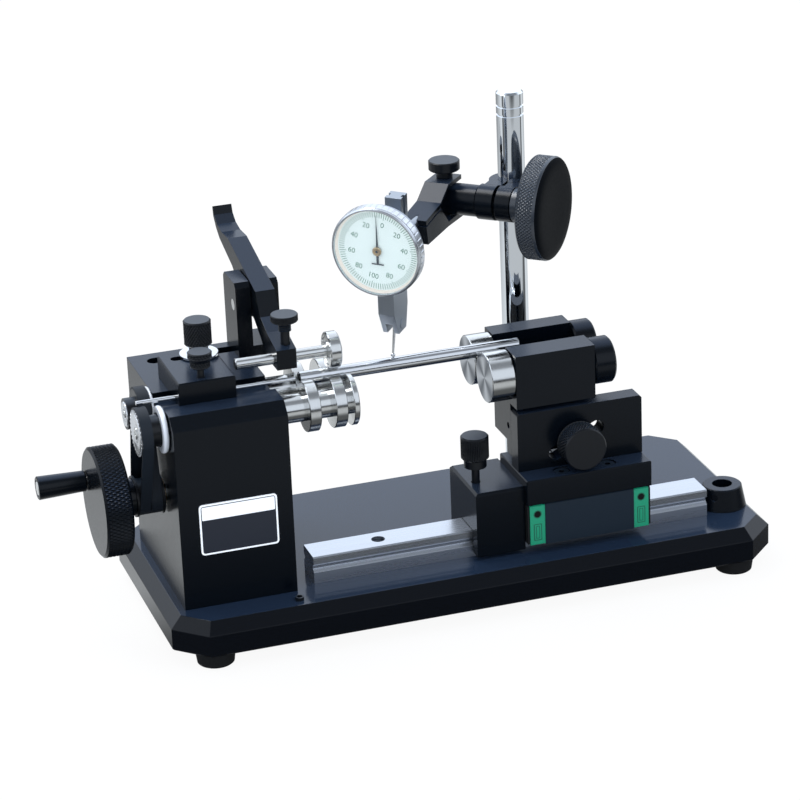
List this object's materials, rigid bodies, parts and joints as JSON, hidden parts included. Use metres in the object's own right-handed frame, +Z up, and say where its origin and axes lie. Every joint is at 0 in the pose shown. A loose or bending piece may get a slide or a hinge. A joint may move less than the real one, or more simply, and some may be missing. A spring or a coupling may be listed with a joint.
{
  "type": "concentricity gauge",
  "caption": "Bench concentricity gauge: cranked belt drive turns a bar on interleaved discs and a sliding tail support under a dial indicator on a column",
  "frame": {"origin": "Centre of the overall box in plan, at the underside of the rubber feet, which is the bench top.", "axes": "+X along the guide rail from the crank to the tail support, +Y from the front with the plate to the column side, +Z up."},
  "size_m": [0.3196, 0.1374, 0.2134],
  "materials": {
    "black_anodised": "black anodised",
    "black_steel": "black oxide",
    "bright_steel": "ground",
    "chrome": "polished",
    "bare_aluminium": "turned",
    "black_rubber": "moulded",
    "green_plastic": "moulded",
    "black_plastic": "moulded",
    "bronze": "sintered",
    "dial_card": "printed",
    "clear_glass": "clear",
    "dark_card": "printed plate"
  },
  "bodies": {
    "base": {"base_plate": "black_anodised", "rubber_feet": "black_rubber", "fixing_screws": "black_steel", "guide_rail": "bright_steel", "rail_screws": "black_steel", "headstock_block": "black_anodised", "spindle_bushes": "bronze", "label_plate": "dark_card", "front_belt": "black_rubber", "rear_belt": "black_rubber", "front_socket": "black_anodised", "rear_socket": "black_anodised", "lever_fork": "black_anodised", "lever_pin": "bright_steel"},
    "crank": {"handwheel": "black_anodised", "drive_shaft": "bright_steel", "drive_pulley": "bare_aluminium", "handle_stud": "bright_steel"},
    "handle": {"crank_handle": "black_anodised"},
    "front_roll": {"front_spindle": "bright_steel", "front_pulley": "bare_aluminium"},
    "rear_roll": {"rear_spindle": "bright_steel", "rear_pulley": "bare_aluminium"},
    "bar": {"test_bar": "chrome"},
    "lever_arm": {"lever": "black_anodised"},
    "lever_screw": {"lever_thumbscrew": "black_steel"},
    "rod": {"pressure_rod": "bright_steel"},
    "bearing": {"bearing_outer": "bright_steel"},
    "holder_slide": {"stop_holder": "black_anodised"},
    "holder_screw": {"stop_thumbscrew": "black_steel"},
    "stop": {"stop_rod": "bright_steel"},
    "stop_screw": {"rod_clamp_knob": "black_steel"},
    "carriage": {"carriage_block": "bright_steel", "carriage_end_caps": "green_plastic", "carriage_seals": "black_rubber", "carriage_plate": "black_anodised", "carriage_screws": "black_steel", "tail_bracket": "black_anodised", "rail_clamp_block": "black_anodised"},
    "carriage_screw": {"rail_clamp_knob": "black_steel"},
    "tail": {"tail_head": "black_anodised"},
    "tail_screw": {"tail_knob": "black_steel"},
    "tail_front_roll": {"front_tail_roller": "bright_steel", "front_tail_cap": "black_anodised"},
    "tail_rear_roll": {"rear_tail_roller": "bright_steel", "rear_tail_cap": "black_anodised"},
    "post": {"column": "chrome"},
    "clamp": {"post_clamp": "black_anodised"},
    "clamp_screw": {"clamp_knob": "black_plastic"},
    "arm": {"clamp_arm": "black_anodised"},
    "indicator": {"upper_jaw": "black_steel", "lower_jaw": "black_steel", "indicator_body": "bright_steel", "indicator_case": "bare_aluminium"},
    "indicator_screw": {"holder_knob": "black_steel"},
    "dial": {"bezel": "chrome", "dial_face": "dial_card", "dial_glass": "clear_glass"},
    "hand": {"pointer": "black_steel"},
    "feeler": {"stylus": "bright_steel"}
  },
  "joints": [
    {"name": "crank_turn", "type": "hinge", "parent": "base", "child": "crank", "pos_m": [-0.1385, -0.02322, 0.0667], "axis": [1, 0, 0], "continuous": true},
    {"name": "handle_turn", "type": "hinge", "parent": "crank", "child": "handle", "pos_m": [-0.1598, -0.0086, 0.0712], "axis": [1, 0, 0], "continuous": true},
    {"name": "front_roll_turn", "type": "hinge", "parent": "base", "child": "front_roll", "pos_m": [-0.0582, -0.0346, 0.1003], "axis": [1, 0, 0], "continuous": true},
    {"name": "rear_roll_turn", "type": "hinge", "parent": "base", "child": "rear_roll", "pos_m": [-0.0582, -0.01185, 0.1003], "axis": [1, 0, 0], "continuous": true},
    {"name": "bar_turn", "type": "hinge", "parent": "base", "child": "bar", "pos_m": [-0.0455, -0.02322, 0.10872], "axis": [1, 0, 0], "continuous": true},
    {"name": "lever_lift", "type": "hinge", "parent": "base", "child": "lever_arm", "pos_m": [-0.0559, 0.0144, 0.1324], "axis": [-1, 0, 0], "range_deg": [0, 28]},
    {"name": "lever_screw_turn", "type": "hinge", "parent": "lever_arm", "child": "lever_screw", "pos_m": [-0.0504, -0.0232, 0.13607], "axis": [0, 0, 1], "range_deg": [0, 360]},
    {"name": "rod_slide", "type": "slide", "parent": "lever_arm", "child": "rod", "axis": [1, 0, 0], "range_m": [0, 0.014]},
    {"name": "bearing_turn", "type": "hinge", "parent": "rod", "child": "bearing", "pos_m": [-0.0326, -0.02322, 0.11977], "axis": [1, 0, 0], "continuous": true},
    {"name": "holder_move", "type": "slide", "parent": "base", "child": "holder_slide", "axis": [1, 0, 0], "range_m": [-0.0022, 0.0022]},
    {"name": "holder_screw_turn", "type": "hinge", "parent": "base", "child": "holder_screw", "pos_m": [-0.0841, -0.0048, 0.1242], "axis": [0, 0, 1], "range_deg": [0, 360]},
    {"name": "stop_slide", "type": "slide", "parent": "holder_slide", "child": "stop", "axis": [1, 0, 0], "range_m": [-0.04, 0.01]},
    {"name": "stop_screw_turn", "type": "hinge", "parent": "holder_slide", "child": "stop_screw", "pos_m": [-0.0898, -0.0294, 0.1235], "axis": [0, 0, 1], "range_deg": [0, 360]},
    {"name": "carriage_slide", "type": "slide", "parent": "base", "child": "carriage", "axis": [1, 0, 0], "range_m": [-0.054, 0.028]},
    {"name": "carriage_screw_turn", "type": "hinge", "parent": "carriage", "child": "carriage_screw", "pos_m": [0.028, -0.0384, 0.0652], "axis": [0, 0, 1], "range_deg": [0, 360]},
    {"name": "tail_height", "type": "slide", "parent": "carriage", "child": "tail", "axis": [0.9063, 0, 0.4226], "range_m": [-0.0015, 0]},
    {"name": "tail_screw_turn", "type": "hinge", "parent": "tail", "child": "tail_screw", "pos_m": [0.073, -0.0562, 0.0683], "axis": [0, -1, 0], "range_deg": [0, 360]},
    {"name": "tail_front_turn", "type": "hinge", "parent": "tail", "child": "tail_front_roll", "pos_m": [0.0348, -0.0346, 0.1003], "axis": [1, 0, 0], "continuous": true},
    {"name": "tail_rear_turn", "type": "hinge", "parent": "tail", "child": "tail_rear_roll", "pos_m": [0.0348, -0.01185, 0.1003], "axis": [1, 0, 0], "continuous": true},
    {"name": "post_turn", "type": "hinge", "parent": "base", "child": "post", "pos_m": [0.0659, 0.0113, 0.022], "axis": [0, 0, 1], "range_deg": [-20, 60]},
    {"name": "clamp_slide", "type": "slide", "parent": "post", "child": "clamp", "axis": [0, 0, 1], "range_m": [0, 0.03]},
    {"name": "clamp_screw_turn", "type": "hinge", "parent": "clamp", "child": "clamp_screw", "pos_m": [0.05586, 0.00015, 0.16632], "axis": [0.7431, -0.6691, 0], "range_deg": [0, 360]},
    {"name": "arm_lift", "type": "hinge", "parent": "clamp", "child": "arm", "pos_m": [0.04932, 0.00604, 0.16632], "axis": [-0.7431, 0.6691, 0], "range_deg": [0, 60]},
    {"name": "indicator_swivel", "type": "hinge", "parent": "arm", "child": "indicator", "pos_m": [0.03684, 0.01728, 0.16632], "axis": [0, 0, 1], "range_deg": [-20, 20]},
    {"name": "indicator_screw_turn", "type": "hinge", "parent": "indicator", "child": "indicator_screw", "pos_m": [0.03684, 0.01728, 0.17932], "axis": [0, 0, 1], "range_deg": [0, 360]},
    {"name": "dial_turn", "type": "hinge", "parent": "indicator", "child": "dial", "pos_m": [-0.0133, -0.0384, 0.16602], "axis": [-0.6489, -0.757, -0.0767], "continuous": true},
    {"name": "hand_turn", "type": "hinge", "parent": "indicator", "child": "hand", "pos_m": [-0.012, -0.03689, 0.16617], "axis": [0.6489, 0.757, 0.0767], "range_deg": [0, 360]},
    {"name": "feeler_swing", "type": "hinge", "parent": "indicator", "child": "feeler", "pos_m": [-0.00095, -0.02194, 0.1272], "axis": [-0.7605, 0.6485, 0.0331], "range_deg": [0, 6]}
  ],
  "couplings": [
    {"joint": "front_roll_turn", "follows": "crank_turn", "ratio": 0.75},
    {"joint": "rear_roll_turn", "follows": "crank_turn", "ratio": 0.75},
    {"joint": "bar_turn", "follows": "crank_turn", "ratio": -2.775},
    {"joint": "bearing_turn", "follows": "crank_turn", "ratio": 1.0406},
    {"joint": "tail_front_turn", "follows": "crank_turn", "ratio": 0.75},
    {"joint": "tail_rear_turn", "follows": "crank_turn", "ratio": 0.75},
    {"joint": "hand_turn", "follows": "feeler_swing", "ratio": 60}
  ]
}
